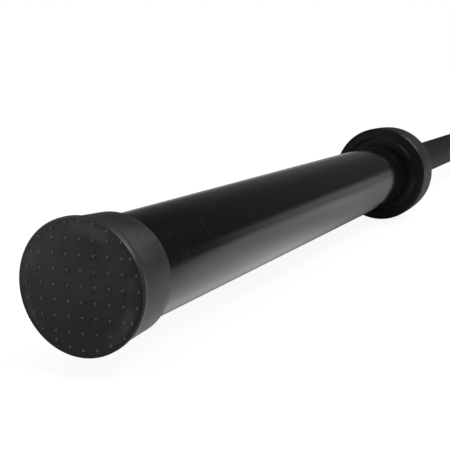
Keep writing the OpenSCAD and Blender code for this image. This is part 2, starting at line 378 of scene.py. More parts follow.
shown, mirrored = ray_kinds(sheet)
to_camera = glowing(grey(FLOOR_LIT), FLOOR_OWN_WHITE)
to_gloss = glowing(image_colour, image_level)
unseen = sheet.node("ShaderNodeMixShader", None, {0: mirrored, 1: diffuse(grey(FLOOR_BOUNCE)), 2: to_gloss})
surface = sheet.node("ShaderNodeMixShader", None, {0: shown, 1: unseen, 2: to_camera})
sheet.node("ShaderNodeOutputMaterial", None, {"Surface": surface}, None)
print("floor: its own white is", FLOOR_OWN_WHITE)

# %% [markdown]
# ### Lamps
# Three broad lamps far off and a small panel near the cap. The first lamp stands beyond the bar, on
# the right and above: matte rubber and the collar's land catch it as a soft highlight, while the
# sleeve's gloss reflects it elsewhere. The second, above on the right, draws the ring of the collar
# and the cap's upper rim. The third is overhead and lights the pips from above. The panel hangs at
# the cap's upper left: it puts the point of light on each pip, and is too far from the collar to
# draw a second line there.

# %% Lamps
SUNS = {
    "beyond_right": {"towards": (0.56, -0.5, 0.66), "strength": 1.45, "width_deg": 30},
    "above_right": {"towards": (-0.12, -0.6, 0.78), "strength": 0.6, "width_deg": 25},
    "overhead": {"towards": (-0.27, 0.13, 0.95), "strength": 0.35, "width_deg": 30},
}
PANEL_FROM_CAP = Vector((-0.144, 0.213, 0.156))
PANEL_WATTS = 0.26
PANEL_SIZE = 90 * MM


def add_lamp(name, kind, towards, strength):
    """A lamp that shines from this direction."""
    lamp = add_object(name, bpy.data.lights.new(name, kind))
    lamp.rotation_euler = (-Vector(towards)).to_track_quat("-Z", "Y").to_euler()
    lamp.data.energy = strength
    return lamp


for name, sun in SUNS.items():
    lamp = add_lamp(name, "SUN", sun["towards"], sun["strength"])
    lamp.data.angle = math.radians(sun["width_deg"])
panel = add_lamp("cap_panel", "AREA", PANEL_FROM_CAP, PANEL_WATTS)
panel.location = cap_middle + PANEL_FROM_CAP
panel.data.size = PANEL_SIZE
panel.visible_camera = False

# %% [markdown]
# ## Finishes
# Every finish starts from one Principled shader. Patterns follow the way the piece was made: a
# turned part has fine lines round the bar's axis, a coating is slightly wavy, moulded rubber is
# mottled. So a Finish offers the place along the bar, the height, the radius and the angle as
# signals. They come from Object coordinates, which stay with a piece when it moves.

# %% Finish
class Finish(Tree):
    """A material with one Principled shader, and the coordinates of a turned piece."""

    def __init__(self, name, **fixed):
        self.material = bpy.data.materials.new(name)
        self.material.use_nodes = True
        super().__init__(self.material.node_tree)
        self.shader = self.tree.nodes["Principled BSDF"]
        self.place = self.node("ShaderNodeTexCoord", output="Object")
        self.along, across, self.height = self.split(self.place)
        self.radius = (across * across + self.height * self.height) ** 0.5
        self.angle = across.apply("ARCTAN2", self.height)
        self.set(**fixed)

    def set(self, **sockets):
        for name, value in sockets.items():
            self.feed(self.shader, name.replace("_", " "), value)

    def pattern(self, where, scale, detail):
        """Blender's noise, from 0 to 1."""
        sockets = {"Vector": where, "Scale": scale, "Detail": detail}
        return self.node("ShaderNodeTexNoise", None, sockets, "Fac")

    def noise(self, size, stretch=(1, 1, 1), detail=3.0):
        """Cloudy noise with features of about this size in metres."""
        return self.pattern(self.place.apply("MULTIPLY", stretch), 1 / size, detail)

    def turned_lines(self, spacing):
        """Fine random lines round the axis, as a tool leaves them: noise of radius and place only."""
        where = self.node("ShaderNodeCombineXYZ", None, {0: self.along, 1: self.radius})
        return self.pattern(where, 1 / spacing, 2.0)

    def round_noise(self, along_size, round_size, detail):
        """Noise on the unrolled surface, without a seam: the angle enters as its sine and cosine."""
        sine = self.angle.apply("SINE") / round_size
        cosine = self.angle.apply("COSINE") / round_size
        where = self.node("ShaderNodeCombineXYZ", None, {0: self.along / along_size, 1: sine, 2: cosine})
        return self.pattern(where, 1.0, detail)

    def bump(self, height, metres, over=None):
        """Turns a height signal from 0 to 1 into a normal; metres is how high 1 stands."""
        sockets = {"Strength": 1.0, "Distance": metres, "Height": height}
        if over is not None:
            sockets["Normal"] = over
        return self.node("ShaderNodeBump", None, sockets)


print("a Finish knows along, height, radius and angle")

# %% [markdown]
# ### Gloss coating of the sleeves
# The sleeve is ground steel under a hard gloss black coating. Black itself gives nothing back: all
# one sees is the mirror image of the room. So the colour is nearly black and the work is in the
# gloss. Plates leave faint lines round it, and the coating is a little wavy along the tube. A
# picture wrapped round the tube would show a seam, and noise on the unrolled surface has none.

# %% Gloss black
COAT_BLACK, RUBBED_BLACK = grey(0.004), grey(0.008)
RUB_FROM, RUB_TO = 0.56, 0.72
COAT_ROUGHNESS, RUB_ROUGHER = 0.11, 0.05
WAVE_HEIGHT, RIPPLE_HEIGHT = 0.25 * MM, 0.008 * MM

gloss_black = Finish("gloss_black_coating", IOR=1.5)
blotches = gloss_black.round_noise(along_size=4 * MM, round_size=0.6, detail=4.0)
rub = gloss_black.fade(blotches, RUB_FROM, RUB_TO)
gloss_black.set(Base_Color=gloss_black.blend(rub, COAT_BLACK, RUBBED_BLACK))
gloss_black.set(Roughness=COAT_ROUGHNESS + rub * RUB_ROUGHER)
waves = gloss_black.round_noise(along_size=90 * MM, round_size=0.9, detail=1.0)
ripples = gloss_black.round_noise(along_size=12 * MM, round_size=0.14, detail=2.0)
wavy = gloss_black.bump(waves, WAVE_HEIGHT)
gloss_black.set(Normal=gloss_black.bump(ripples, RIPPLE_HEIGHT, wavy))
print("finish:", gloss_black.material.name)

# %% [markdown]
# ### Satin coating of the collars
# The collar is turned from solid steel and coated the same black, but without polishing first, so
# it is softer and fine turning lines can be felt through the coating. Real grooves would need a
# great many faces for what only shows as a gleam, so lines and grain are bumps in the shading.

# %% Satin black
SATIN_DARK, SATIN_LIGHT = grey(0.002), grey(0.004)
SATIN_ROUGHNESS, CLOUD_ROUGHER = 0.36, 0.1
CLOUD_SIZE = 12 * MM
LINE_SPACING, LINE_HEIGHT = 0.7 * MM, 0.008 * MM
GRAIN_SIZE, GRAIN_HEIGHT = 0.6 * MM, 0.006 * MM

satin_black = Finish("satin_black_coating", IOR=1.35)
cloud = satin_black.noise(CLOUD_SIZE)
satin_black.set(Base_Color=satin_black.blend(cloud, SATIN_DARK, SATIN_LIGHT))
satin_black.set(Roughness=SATIN_ROUGHNESS + cloud * CLOUD_ROUGHER)
lined = satin_black.bump(satin_black.turned_lines(LINE_SPACING), LINE_HEIGHT)
satin_black.set(Normal=satin_black.bump(satin_black.noise(GRAIN_SIZE), GRAIN_HEIGHT, lined))
print("finish:", satin_black.material.name)

# %% [markdown]
# ### Black shaft
# The shaft is satin black all over. Hands and racks polish the tips of the knurling and leave the
# valleys dark, so the colour follows the radius: anything that stands above the band is lighter.
# A second material for the tips would do, but one rule suits the smooth stretches as well.

# %% Shaft black
SHAFT_DARK, SHAFT_WORN = grey(0.004), grey(0.035)
POLISH_DEPTH = 0.05 * MM
WORN_FROM, WORN_TO, WORN_SHARE = 0.35, 0.75, 0.3
SHAFT_ROUGHNESS, SHEEN_CHANGE = 0.3, 0.04
OIL_SIZE, OIL_STRETCH = 30 * MM, (0.4, 1, 1)
GRIND_SPACING, GRIND_HEIGHT = 0.5 * MM, 0.01 * MM

shaft_black = Finish("satin_black_steel", IOR=1.22)
oil = shaft_black.noise(OIL_SIZE, OIL_STRETCH)
tips = shaft_black.fade(shaft_black.radius, grip_r - POLISH_DEPTH, grip_r + POLISH_DEPTH)
worn = tips * shaft_black.fade(oil, WORN_FROM, WORN_TO)
shaft_black.set(Base_Color=shaft_black.blend(worn * WORN_SHARE, SHAFT_DARK, SHAFT_WORN))
shaft_black.set(Roughness=SHAFT_ROUGHNESS - worn * SHEEN_CHANGE + oil * SHEEN_CHANGE)
shaft_black.set(Normal=shaft_black.bump(shaft_black.turned_lines(GRIND_SPACING), GRIND_HEIGHT))
print("finish:", shaft_black.material.name)

# %% [markdown]
# ### Rubber of the end caps
# Moulded rubber is matte, with a mottled bloom. Dust stays in a broken ring near the edge of the
# face, and the colour is darker towards the bottom. The tips of the pips are lighter: partly wear
# where the bar is stood on its end, partly a painted highlight for the point of light on each pip.
# A painted picture could show all this. But the place on the cap says it too, and stays sharp from
# near: the radius gives the ring, the height the lower half and the distance along the bar the tips.

# %% Colour of the rubber
# The colour of the pip tips is part wear, part painted highlight
RUBBER_DARK, RUBBER_LIGHT = grey(0.002), grey(0.018)
RUBBER_DUSTY, RUBBER_TIP_WEAR_AND_HIGHLIGHT = grey(0.029), grey(0.06)
TONE_FROM, TONE_TO = 0.35, 0.65
TIP_FROM, TIP_TO = 0.1 * MM, 0.4 * MM
RING_INSIDE, RING_OUTSIDE = (21 * MM, 24.5 * MM), (26 * MM, 28.5 * MM)
DUST_FROM, DUST_TO = 0.45, 0.65
BELOW_FROM, BELOW_TO, BELOW_SHARE = -24 * MM, 6 * MM, 0.6

cap_rubber = Finish("moulded_rubber", IOR=1.53)
mottle = cap_rubber.noise(4 * MM, detail=4.0)
bloom = cap_rubber.noise(22 * MM, detail=2.0)
patches = cap_rubber.noise(50 * MM, detail=1.0)
tone = cap_rubber.fade(mottle * 0.3 + bloom * 0.4 + patches * 0.3, TONE_FROM, TONE_TO)
from_middle = cap_rubber.along.apply("ABSOLUTE")
# lighter pip tips: wear and a painted highlight
tip_wear_and_highlight = cap_rubber.fade(from_middle, cap_face_x + TIP_FROM, cap_face_x + TIP_TO)
ring = cap_rubber.fade(cap_rubber.radius, *RING_INSIDE)
ring = ring * cap_rubber.fade(cap_rubber.radius, *RING_OUTSIDE, 1, 0)
dust = ring * cap_rubber.fade(cap_rubber.noise(18 * MM), DUST_FROM, DUST_TO)
# the colour is darker towards the bottom of the cap
darker_below = cap_rubber.fade(cap_rubber.height, BELOW_FROM, BELOW_TO, 1, 0) * BELOW_SHARE
clean = cap_rubber.blend(tone * (1 - darker_below), RUBBER_DARK, RUBBER_LIGHT)
dusty = cap_rubber.blend(dust, clean, RUBBER_DUSTY)
cap_rubber.set(Base_Color=cap_rubber.blend(tip_wear_and_highlight, dusty, RUBBER_TIP_WEAR_AND_HIGHLIGHT))
print("colour:", cap_rubber.material.name)

# %% [markdown]
# What is rubbed is also a little smoother, and what is scuffed is rougher: the lower half of the rim
# is scuffed, so it has no bright line. The mould leaves a fine grain, which lies over a slower
# unevenness of the skin.

# %% Surface of the rubber
RUBBER_ROUGHNESS, TONE_ROUGHER, TIP_SMOOTHER, SCUFF_ROUGHER = 0.36, 0.14, 0.12, 0.3
RIM_FROM, RIM_TO = 27 * MM, 28.5 * MM
RIM_DEEP, RIM_SHALLOW = 4 * MM, 2.5 * MM
SCUFF_FROM, SCUFF_TO = 2 * MM, 16 * MM
MOULD_SIZE, MOULD_HEIGHT = 0.5 * MM, 0.02 * MM
SKIN_SIZE, SKIN_HEIGHT = 3.5 * MM, 0.06 * MM

rim = cap_rubber.fade(cap_rubber.radius, RIM_FROM, RIM_TO)
rim = rim * cap_rubber.fade(from_middle, cap_face_x - RIM_DEEP, cap_face_x - RIM_SHALLOW)
scuffed = rim * cap_rubber.fade(cap_rubber.height, SCUFF_FROM, SCUFF_TO, 1, 0)
roughness = RUBBER_ROUGHNESS + tone * TONE_ROUGHER - tip_wear_and_highlight * TIP_SMOOTHER + scuffed * SCUFF_ROUGHER
cap_rubber.set(Roughness=roughness)
grain = cap_rubber.noise(MOULD_SIZE, detail=2.0)
skin = cap_rubber.bump(cap_rubber.noise(SKIN_SIZE, detail=2.0), SKIN_HEIGHT)
cap_rubber.set(Normal=cap_rubber.bump(grain, MOULD_HEIGHT, skin))
print("finish:", cap_rubber.material.name)

# %% [markdown]
# ### Metals and the seal inside
# What is inside shows only when a cap is pulled off or the bar is taken apart: oiled bronze, ground
# bearing steel, pressed cages, plain tube, blackened spring steel and a rubber seal. They differ in
# colour, in roughness and in how coarse the turning lines are, so one function makes them all.

# %% Turned metals
BRONZE_DARK, BRONZE_LIGHT = (0.30, 0.17, 0.06, 1), (0.62, 0.40, 0.17, 1)
STAIN_SIZE, STAIN_ROUGHER = 9 * MM, 0.12
LINE_SHARE = 0.4


def turned_metal(name, dark, light, roughness, spacing, depth, metallic=1.0):
    """A finish with turning lines this far apart and this deep."""
    finish = Finish(name, Metallic=metallic)
    lines = finish.turned_lines(spacing)
    stain = finish.noise(STAIN_SIZE)
    tone = lines * LINE_SHARE + stain * (1 - LINE_SHARE)
    finish.set(Base_Color=finish.blend(tone, dark, light))
    finish.set(Roughness=roughness + stain * STAIN_ROUGHER)
    finish.set(Normal=finish.bump(lines, depth))
    print("finish:", name)
    return finish


bronze = turned_metal(
    "oiled_bronze", BRONZE_DARK, BRONZE_LIGHT,
    roughness=0.28, spacing=0.6 * MM, depth=0.01 * MM,
)
bearing_steel = turned_metal(
    "ground_steel", grey(0.42), grey(0.66),
    roughness=0.16, spacing=0.3 * MM, depth=0.003 * MM,
)
cage_steel = turned_metal(
    "pressed_steel", grey(0.28), grey(0.46),
    roughness=0.34, spacing=0.8 * MM, depth=0.006 * MM,
)
plain_steel = turned_metal(
    "plain_tube_steel", grey(0.2), grey(0.36),
    roughness=0.36, spacing=0.7 * MM, depth=0.01 * MM,
)
spring_steel = turned_metal(
    "blackened_spring", grey(0.03), grey(0.075),
    roughness=0.38, spacing=0.5 * MM, depth=0.006 * MM, metallic=0.6,
)
seal_rubber = turned_metal(
    "black_seal_rubber", grey(0.014), grey(0.024),
    roughness=0.55, spacing=0.8 * MM, depth=0.01 * MM, metallic=0.0,
)

# %% [markdown]
# ## Turned pieces
# Collar, sleeve tube, cap and shaft are all bodies of revolution, as the lathe or the round mould
# makes them. A section is a closed loop of (radius, place) points, turned about the bar's axis.
# Corners are rounded by a fillet with a few points, so that edges catch a line of light as real
# ones do. A Bevel modifier could round them too, but here each corner has its own radius.

# %% Sections
ARC_STEP_DEG = 10


def arc(centre, radius, start_deg, end_deg, steps):
    """Points of an arc in a section, as (radius, place along the bar)."""
    angles = [math.radians(start_deg + (end_deg - start_deg) * i / steps) for i in range(steps + 1)]
    return [(centre[0] + radius * math.cos(a), centre[1] + radius * math.sin(a)) for a in angles]


def rounded(corners):
    """A closed section from corners of (radius, place, fillet). A fillet of 0 keeps the corner."""
    points = []
    for index, (r, x, fillet) in enumerate(corners):
        here = Vector((r, x))
        if not fillet:
            points.append((r, x))
            continue
        before = Vector(corners[index - 1][:2]) - here
        after = Vector(corners[(index + 1) % len(corners)][:2]) - here
        opening = before.angle(after)
        reach = fillet / math.tan(opening / 2)
        start, end = before.normalized() * reach, after.normalized() * reach
        middle = here + (start + end).normalized() * (fillet / math.sin(opening / 2))
        first = math.degrees(math.atan2(*reversed(here + start - middle)))
        last = math.degrees(math.atan2(*reversed(here + end - middle)))
        sweep = (last - first + 180) % 360 - 180
        steps = max(2, math.ceil(abs(sweep) / ARC_STEP_DEG))
        points += arc(middle, fillet, first, first + sweep, steps)
    return points


print("a fillet has a point every", ARC_STEP_DEG, "degrees")

# %% [markdown]
# The lathe makes one ring of points for each point of the section and joins neighbouring rings with
# faces. A Spin or Screw modifier would do, but building the rings directly keeps the poles closed: a
# point on the axis becomes a single vertex. Smooth shading stops where two faces meet sharply.

# %% Lathe
SEGMENTS = 192
SHARP_DEG = 28
ON_AXIS = 1e-9


def lathe(name, section, side, finish, segments=SEGMENTS, sharp_deg=SHARP_DEG):
    """Turns a closed section about the bar's axis and returns the piece."""
    vertices, rings = [], []
    for r, x in section:
        count = 1 if r < ON_AXIS else segments
        rings.append(range(len(vertices), len(vertices) + count))
        for i in range(count):
            turn = 2 * math.pi * i / segments
            vertices.append((side * x, r * math.sin(turn), r * math.cos(turn)))
    faces = []
    for ring, following in zip(rings, rings[1:] + rings[:1]):
        if len(ring) == len(following) == 1:
            continue
        for i in range(segments):
            j = (i + 1) % segments
            near = [ring[i % len(ring)], ring[j % len(ring)]]
            far = [following[j % len(following)], following[i % len(following)]]
            faces.append(tuple(dict.fromkeys(near + far)))
    area = sum(a[0] * b[1] - b[0] * a[1] for a, b in zip(section, section[1:] + section[:1]))
    if area * side > 0:
        faces = [face[::-1] for face in faces]
    mesh = bpy.data.meshes.new(name)
    mesh.from_pydata(vertices, [], faces)
    mesh.validate()
    mesh.shade_smooth()
    mesh.set_sharp_from_angle(angle=math.radians(sharp_deg))
    mesh.materials.append(finish.material)
    print(name, len(mesh.polygons), "faces")
    return add_object(name, mesh)


print("the lathe turns a section in", SEGMENTS, "steps")

# %% [markdown]
# ### Sleeve tubes
# A thick tube, stepped inside for the bearings and the end cover. Outside it is plain: the plates
# slide on it. Its outer end has a chamfer that shows only when the rubber cap is off. All steps are
# corners of the one section, as a lathe cuts them, so nothing has to be cut out with a Boolean.

# %% Sleeve tubes
SPIGOT_STEP = 1 * MM
SEAT_STEP = 0.3 * MM
SEAT_GAP = 0.3 * MM
TUBE_CHAMFER = 1.5 * MM
CLIP_SLACK = 0.1 * MM
COVER_SLACK = 0.1 * MM
EDGE = 0.15 * MM
SLEEVE_SEGMENTS = 256

bore_r = radius_of("outer_bushing_left")
cover_bore_r = radius_of("end_cover_left") + COVER_SLACK
cover_x = inner_x("end_cover_left")
clip_groove_r = radius_of("cover_snap_ring_left")
clip_x = inner_x("cover_snap_ring_left")
clip_end_x = outer_x("cover_snap_ring_left") + CLIP_SLACK
washer_bore_r = radius_of("outer_thrust_washer_left") + COVER_SLACK
washer_x = inner_x("outer_thrust_washer_left")


def sleeve_section():
    spigot_r = sleeve_r - SPIGOT_STEP
    seat_r = sleeve_r - SEAT_STEP
    return rounded([
        (bore_r, spigot_x, 0), (spigot_r, spigot_x, 0),
        (spigot_r, stop_x, 0), (sleeve_r, stop_x, 0),
        (sleeve_r, cap_mouth_x - SEAT_GAP, 0), (seat_r, cap_mouth_x - SEAT_GAP, 0),
        (seat_r, tube_end_x - TUBE_CHAMFER, EDGE), (seat_r - TUBE_CHAMFER, tube_end_x, EDGE),
        (cover_bore_r, tube_end_x, EDGE), (cover_bore_r, clip_end_x, 0),
        (clip_groove_r, clip_end_x, 0), (clip_groove_r, clip_x, 0),
        (cover_bore_r, clip_x, 0), (cover_bore_r, cover_x, 0),
        (washer_bore_r, cover_x, 0), (washer_bore_r, washer_x, 0),
        (bore_r, washer_x, 0),
    ])


for side, sign in SIDES.items():
    tube = lathe("sleeve_%s_coated" % side, sleeve_section(), sign, gloss_black, SLEEVE_SEGMENTS)
    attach(tube, "sleeve_" + side)
    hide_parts("sleeve_tube_" + side)

# %% [markdown]
# ### Collars
# One turned piece: a raised ring for the plate to bear on, a rim, a straight land, a long crown
# and a rounded nose towards the grip. The crown's radius is much larger than the nose's. Both are
# true arcs that meet without a kink, which a curve drawn by hand wouldn't do so exactly. Inside
# there is a groove for the dust seal and a seat for the tube.

# %% Collars
BOSS_R = 31 * MM
BOSS_H = 2.4 * MM
BOSS_ROUND = 2.2 * MM
BOSS_SLANT = 1.4 * MM
FOOT_ROUND = 1.5 * MM
RIM_ROUND = 2.5 * MM
LAND_W = 11 * MM
CROWN_R = 370 * MM
NOSE_ROUND = 16 * MM
NOSE_GAP = 0.5 * MM
NOSE_CHAMFER = 1 * MM
BORE_RELIEF = 0.3 * MM
SEAL_GAP = 0.1 * MM
CROWN_STEPS, NOSE_STEPS = 16, 18

seal_r = radius_of("dust_seal_left")
seal_x = inner_x("dust_seal_left")
seal_end_x = outer_x("dust_seal_left") + SEAL_GAP


def collar_section():
    rim_x = stop_x - BOSS_H
    land_x = rim_x - LAND_W
    between_centres = CROWN_R - NOSE_ROUND
    sweep = math.asin((land_x - nose_x - NOSE_ROUND) / between_centres)
    nose_centre_r = collar_r - CROWN_R + between_centres * math.cos(sweep)
    spigot_r = sleeve_r - SPIGOT_STEP
    nose_bore_r = grip_r + NOSE_GAP
    front = rounded([
        (spigot_r, spigot_x, 0),
        (spigot_r, stop_x - SPIGOT_STEP - BORE_RELIEF, 0), (sleeve_r + BORE_RELIEF, stop_x, 0),
        (BOSS_R - BOSS_SLANT / 2, stop_x, BOSS_ROUND), (BOSS_R + BOSS_SLANT / 2, rim_x, FOOT_ROUND),
        (collar_r, rim_x, RIM_ROUND), (collar_r, land_x, 0),
        (nose_bore_r, land_x, 0),
    ])[:-1]
    meeting_deg = -math.degrees(sweep)
    crown = arc((collar_r - CROWN_R, land_x), CROWN_R, 0, meeting_deg, CROWN_STEPS)
    nose = arc((nose_centre_r, nose_x + NOSE_ROUND), NOSE_ROUND, meeting_deg, -90, NOSE_STEPS)
    inside = [
        (nose_bore_r + NOSE_CHAMFER, nose_x), (nose_bore_r, nose_x + NOSE_CHAMFER),
        (nose_bore_r, seal_x), (seal_r, seal_x), (seal_r, seal_end_x),
        (nose_bore_r, seal_end_x), (nose_bore_r, spigot_x),
    ]
    return front + crown[1:] + nose[1:] + inside


for side, sign in SIDES.items():
    collar = lathe("collar_%s_turned" % side, collar_section(), sign, satin_black)
    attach(collar, "sleeve_" + side)
    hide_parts("collar_" + side)

# %% [markdown]
# ### Rubber end caps
# A moulded cup with a thick face, pushed over the end of the sleeve. Its lip is a little wider than
# the waist behind it, and it tapers to the mouth. All corners are soft, as rubber leaves a mould.
# A Subdivision modifier would soften a rough cup too, but fillets keep each radius as it should be.

# %% Cap section
CAP_ROUND = 0.7 * MM
CAP_LIP_W = 3 * MM
CAP_WAIST_R = 28.6 * MM
CAP_WAIST_LEN = 2.4 * MM
CAP_SOFT = 4 * MM
CAP_MOUTH_R = 27.5 * MM
CAP_MOUTH_ROUND = 0.5 * MM
CAP_INNER_ROUND = 0.1 * MM
CAP_FLOOR_ROUND = 0.3 * MM
CAP_CLEAR = 0.1 * MM
CAP_FLOOR_GAP = 0.2 * MM


def cap_section():
    inner_r = sleeve_r - SEAT_STEP + CAP_CLEAR
    floor_x = tube_end_x + CAP_FLOOR_GAP
    lip_x = cap_face_x - CAP_LIP_W
    return rounded([
        (0, cap_face_x, 0),
        (cap_lip_r, cap_face_x, CAP_ROUND), (cap_lip_r, lip_x, CAP_SOFT),
        (CAP_WAIST_R, lip_x - CAP_WAIST_LEN, CAP_SOFT),
        (CAP_MOUTH_R, cap_mouth_x, CAP_MOUTH_ROUND), (inner_r, cap_mouth_x, CAP_INNER_ROUND),
        (inner_r, floor_x, CAP_FLOOR_ROUND), (0, floor_x, 0),
    ])


print("cap: %.1f mm long" % ((cap_face_x - cap_mouth_x) / MM))

# %% [markdown]
# ### Pips on the caps
# The pips are moulded on: a square grid and a short bowed row outside each side. They could be
# placed one by one in Python. But they repeat, so Geometry Nodes place them: points from a rule,
# and one small domed pip on each. Two helpers are needed first. One makes a tree whose inputs are
# its sizes, and the other runs it and keeps the result as a plain mesh.

# %% Geometry Nodes trees
def new_group(name, inputs):
    """An empty Geometry Nodes tree with named inputs and one geometry output."""
    group = bpy.data.node_groups.new(name, "GeometryNodeTree")
    for label, kind in inputs.items():
        group.interface.new_socket(label, in_out="INPUT", socket_type=kind)
    group.interface.new_socket("Geometry", in_out="OUTPUT", socket_type="NodeSocketGeometry")
    tree = Tree(group)
    start = tree.node("NodeGroupInput", output=None)
    return tree, {label: Signal(start.outputs[label]) for label in inputs}


def grow(tree, name, values):
    """Runs a Geometry Nodes tree on an empty object and returns the result as a plain mesh."""
    host = add_object(name, bpy.data.meshes.new(name))
    modifier = host.modifiers.new(name, "NODES")
    modifier.node_group = tree.tree
    for item in tree.tree.interface.items_tree:
        if item.in_out == "INPUT":
            modifier[item.identifier] = values[item.name]
    grown = host.evaluated_get(bpy.context.evaluated_depsgraph_get())
    mesh = bpy.data.meshes.new_from_object(grown)
    bpy.data.objects.remove(host)
    return mesh


print("a Geometry Nodes tree is made with new_group and run with grow")

# %% [markdown]
# The rule works on flat ground. Rows and side rows are counted from the middle outwards. The bowed
# rows start as one line of points, whose number tells which side a point is on and its step along
# that side. The row bows because its points keep one distance from the middle. Both sets are then
# stood up against the cap's face.

# %% Tree of the pips
def pip_tree():
    tree, use = new_group("pips", {
        "Pip": "NodeSocketObject", "Pitch": "NodeSocketFloat", "Rows": "NodeSocketInt",
        "Side rows": "NodeSocketInt", "Ring radius": "NodeSocketFloat",
        "Face": "NodeSocketFloat", "Middle": "NodeSocketVector", "Finish": "NodeSocketMaterial",
    })
    squares = use["Rows"] * 2
    width = squares * use["Pitch"]
    grid = tree.node("GeometryNodeMeshGrid", None, {
        "Size X": width, "Size Y": width, "Vertices X": squares + 1, "Vertices Y": squares + 1,
    })
    per_side = use["Side rows"] * 2 + 1
    ring = tree.node("GeometryNodeMeshLine", None, {"Count": per_side * 4})
    index = tree.node("GeometryNodeInputIndex")
    side = ((index + 0.5) / per_side).apply("FLOOR")
    step = (index - side * per_side - use["Side rows"]) * use["Pitch"]
    out = (use["Ring radius"] * use["Ring radius"] - step * step) ** 0.5
    turn = side * (math.pi / 2)
    sine, cosine = turn.apply("SINE"), turn.apply("COSINE")
    bowed = tree.node("ShaderNodeCombineXYZ", None, {
        0: out * cosine - step * sine, 1: out * sine + step * cosine,
    })
    ring = tree.node("GeometryNodeSetPosition", None, {"Geometry": ring, "Position": bowed})
    both = tree.node("GeometryNodeJoinGeometry", None, {0: [grid, ring]})
    flat_x, flat_y = tree.split(tree.node("GeometryNodeInputPosition"))[:2]
    standing = tree.node("ShaderNodeCombineXYZ", None, {0: use["Face"], 1: flat_x, 2: flat_y})
    placed = tree.node("GeometryNodeSetPosition", None, {
        "Geometry": both, "Position": standing + use["Middle"],
    })
    pip = tree.node("GeometryNodeObjectInfo", None, {"Object": use["Pip"]}, "Geometry")
    spread = tree.node("GeometryNodeInstanceOnPoints", None, {"Points": placed, "Instance": pip})
    real = tree.node("GeometryNodeRealizeInstances", None, {"Geometry": spread})
    painted = tree.node("GeometryNodeSetMaterial", None, {"Geometry": real, "Material": use["Finish"]})
    tree.node("NodeGroupOutput", None, {"Geometry": painted}, None)
    return tree


pips = pip_tree()
print("pips:", len(pips.tree.nodes), "nodes")

# %% [markdown]
# One pip is a tiny turned piece: a dome, a foot that flares into the face, and a root sunk in it,
# so that no gap shows. It is turned once for each cap, spread by the tree and then taken away. On
# the real cap the field sits a little off the middle, and so it does here.

# %% Caps with their pips
PIP_PITCH = 6.5 * MM
PIP_R = 0.65 * MM
PIP_H = 0.5 * MM
PIP_ROOT = 0.3 * MM
PIP_FLARE = 1.15
PIP_ROWS = 3
PIP_SIDE_ROWS = 2
PIP_RING_R = 26.7 * MM
PIP_MIDDLE = (0, -1.3 * MM, 0.7 * MM)
PIP_SEGMENTS, PIP_SHARP_DEG = 14, 60
DOME_STEP_DEG = 12


def pip_section():
    """Half of the pip's outline, from the root to the top of the dome."""
    angles = [math.radians(degrees) for degrees in range(DOME_STEP_DEG, 90, DOME_STEP_DEG)]
    dome = [(PIP_R * math.cos(a), PIP_H * math.sin(a)) for a in angles]
    return [(0, -PIP_ROOT), (PIP_R, -PIP_ROOT), (PIP_R * PIP_FLARE, 0)] + dome + [(0, PIP_H)]


for side, sign in SIDES.items():
    cap = lathe("cap_%s_moulded" % side, cap_section(), sign, cap_rubber)
    single = lathe("pip_%s" % side, pip_section(), sign, cap_rubber, PIP_SEGMENTS, PIP_SHARP_DEG)
    dots = grow(pips, "pips_" + side, {
        "Pip": single, "Pitch": PIP_PITCH, "Rows": PIP_ROWS, "Side rows": PIP_SIDE_ROWS,
        "Ring radius": PIP_RING_R, "Face": sign * cap_face_x, "Middle": PIP_MIDDLE,
        "Finish": cap_rubber.material,
    })
    bpy.data.objects.remove(single)
    pip_field = add_object("cap_%s_pips" % side, dots)
    for piece in (cap, pip_field):
        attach(piece, "cap_" + side)
    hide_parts("rubber_end_cap_" + side)
    print(pip_field.name, len(dots.polygons), "faces")

# %% [markdown]
# ### Shaft
# The grip is ground smooth and then knurled between two rolls. What stays smooth: the stretch next
# to each collar, the ring marks that show where to put the hands, and the gaps beside the middle
# patch. The section is one half of the bar, mirrored, with its small shoulders eased.

# %% Shaft
KNURL_SINK = 0.15 * MM
MARK_SINK = 0.4 * MM
CENTRE_KNURL = 120 * MM
KNURL_START = 210 * MM
KNURL_MARGIN = 30 * MM
MARK_SPAN = 910 * MM
MARK_W = 5 * MM
JOURNAL_R = 14 * MM
CLIP_GROOVE_R = 13.3 * MM
SHAFT_CHAMFER = 1 * MM
SHOULDER_GAP = 0.2 * MM
EASE = 0.12 * MM
SHAFT_SEGMENTS = 128

shaft_end_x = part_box("shaft")[1].x
shoulder_x = inner_x("inner_thrust_washer_left") - SHOULDER_GAP
ring_from, ring_to = inner_x("shaft_snap_ring_left"), outer_x("shaft_snap_ring_left")
band_r = grip_r - KNURL_SINK
mark_r = grip_r - MARK_SINK
knurl_end_x = nose_x - KNURL_MARGIN
mark_from, mark_to = (MARK_SPAN - MARK_W) / 2, (MARK_SPAN + MARK_W) / 2


def step_down(x, from_r, to_r):
    """Two points where the radius changes over a short eased slope."""
    return [(from_r, x - EASE / 2), (to_r, x + EASE / 2)]


def shaft_section():
    half = []
    half += step_down(CENTRE_KNURL / 2, band_r, grip_r)
    half += step_down(KNURL_START, grip_r, band_r)
    half += step_down(mark_from, band_r, mark_r)
    half += step_down(mark_to, mark_r, band_r)
    half += step_down(knurl_end_x, band_r, grip_r)
    half += [(grip_r, shoulder_x), (JOURNAL_R, shoulder_x)]
    half += [(JOURNAL_R, ring_from), (CLIP_GROOVE_R, ring_from)]
    half += [(CLIP_GROOVE_R, ring_to), (JOURNAL_R, ring_to)]
    half += [(JOURNAL_R, shaft_end_x - SHAFT_CHAMFER), (JOURNAL_R - SHAFT_CHAMFER, shaft_end_x)]
    half += [(0, shaft_end_x)]
    return [(r, -x) for r, x in reversed(half)] + half


bar = lathe("shaft_black_steel", shaft_section(), 1, shaft_black, SHAFT_SEGMENTS)
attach(bar, "shaft")
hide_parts("shaft")

